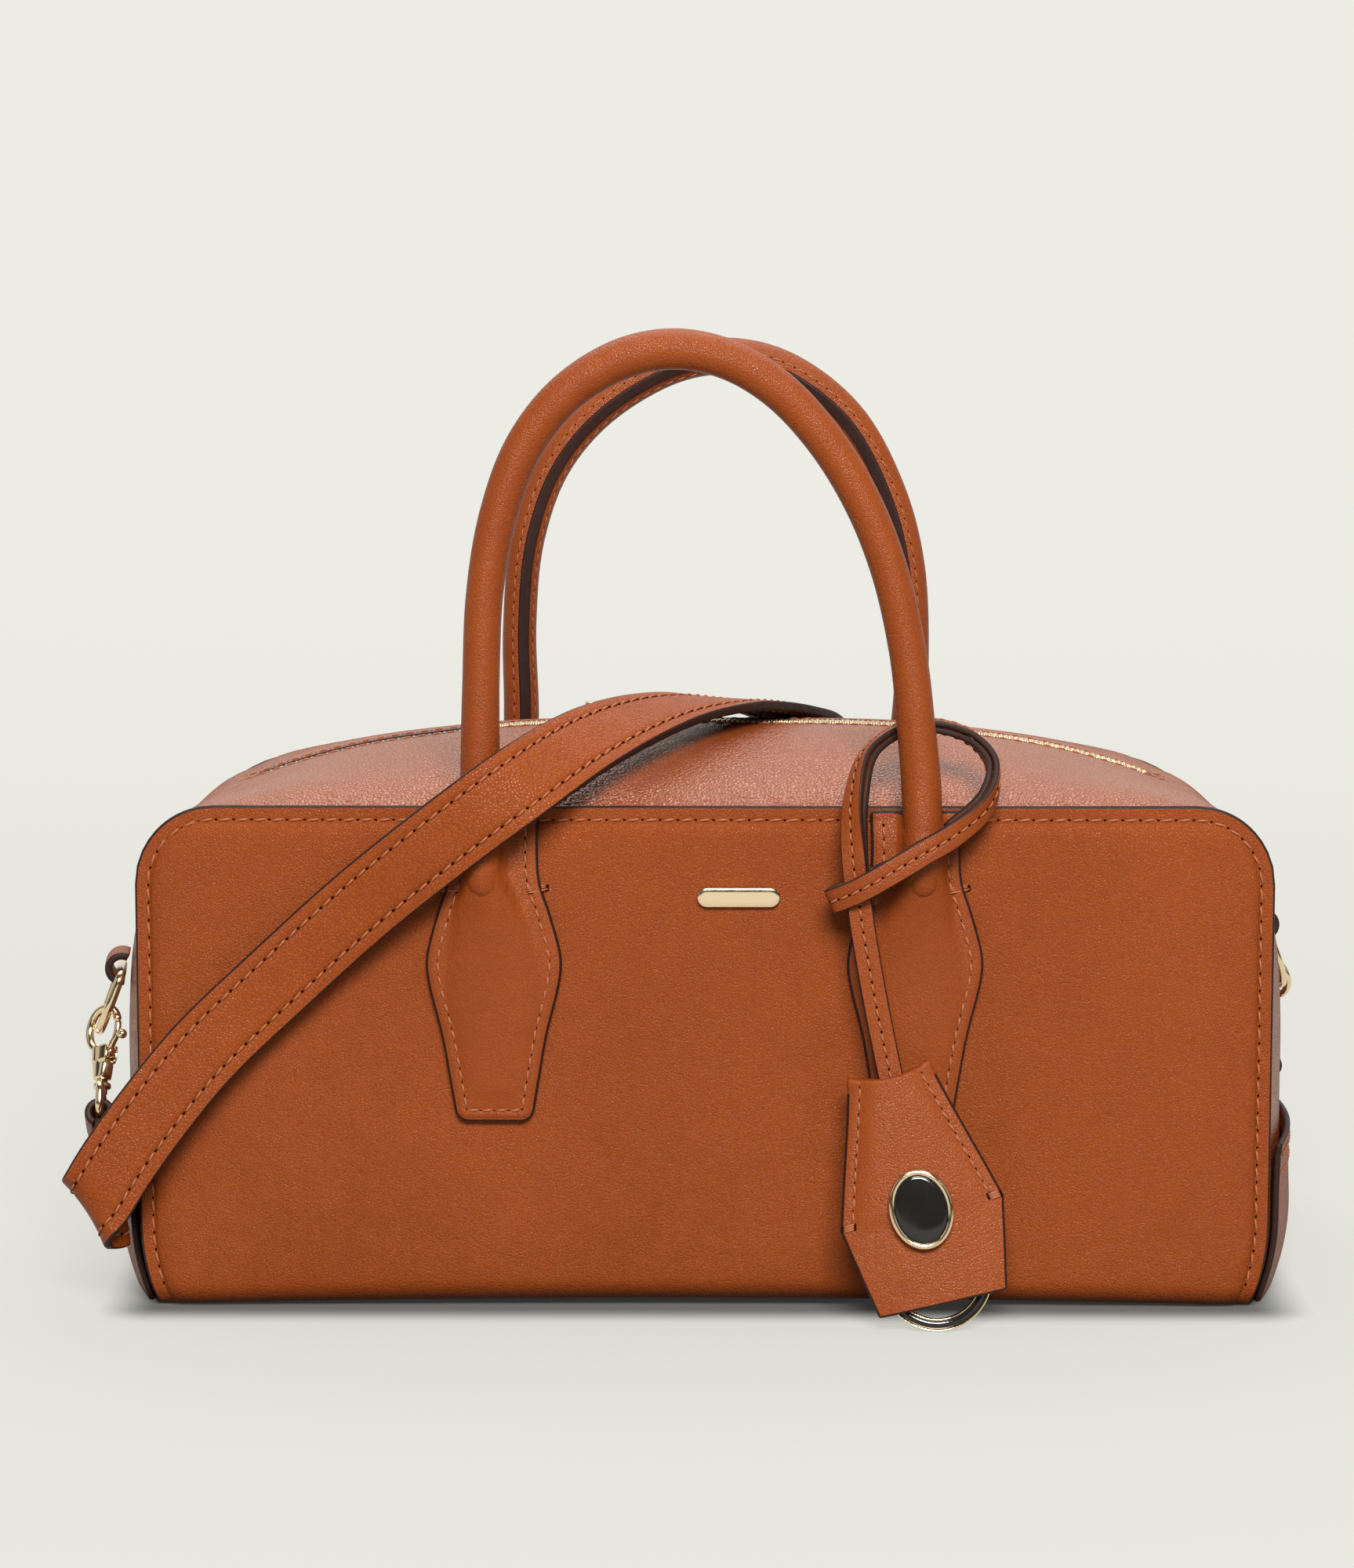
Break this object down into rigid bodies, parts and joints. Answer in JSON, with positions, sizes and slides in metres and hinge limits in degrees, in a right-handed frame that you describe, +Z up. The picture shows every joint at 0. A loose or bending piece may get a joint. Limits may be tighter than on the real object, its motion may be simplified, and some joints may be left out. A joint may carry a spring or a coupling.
{
  "type": "travel bag",
  "caption": "Small structured leather bag in a bowling shape with rolled top handles, a long zip over the domed top, a hooked shoulder strap laid across it and a leather bell charm.",
  "frame": {"origin": "middle of the base, on the surface that the bag stands on", "axes": "+X along the bag to the viewer's right, +Y from the front to the back, +Z up"},
  "size_m": [0.3465, 0.1727, 0.2665],
  "materials": {
    "tan_leather": "cognac leather with a fine grain and a satin sheen",
    "gold_metal": "polished pale gold plating",
    "zip_cloth": "dark brown woven tape",
    "black_enamel": "gloss black enamel between gold rims"
  },
  "bodies": {
    "bag": {"body_wrap": "tan_leather", "gusset": "tan_leather", "end_panel_left": "tan_leather", "end_panel_right": "tan_leather", "handle_front": "tan_leather", "handle_back": "tan_leather", "side_loop_left": "tan_leather", "side_loop_right": "tan_leather", "strap": "tan_leather", "charm_thong": "tan_leather", "charm_front": "tan_leather", "charm_back": "tan_leather", "zip_teeth": "gold_metal", "zip_slider": "gold_metal", "ring_left": "gold_metal", "ring_right": "gold_metal", "hook_left": "gold_metal", "hook_right": "gold_metal", "charm_emblem": "gold_metal", "front_bar": "gold_metal", "zip_tape_front": "zip_cloth", "zip_tape_back": "zip_cloth", "charm_ring": "black_enamel"},
    "gate": {"hook_gate": "gold_metal"}
  },
  "joints": [
    {"name": "hook_gate_hinge", "type": "hinge", "parent": "bag", "child": "gate", "pos_m": [-0.16569, -0.03521, 0.06606], "axis": [-0.6829, -0.6571, 0.319], "range_deg": [0, 16], "stiffness_Nm_per_rad": 0.02, "springref_deg": -2.86}
  ]
}
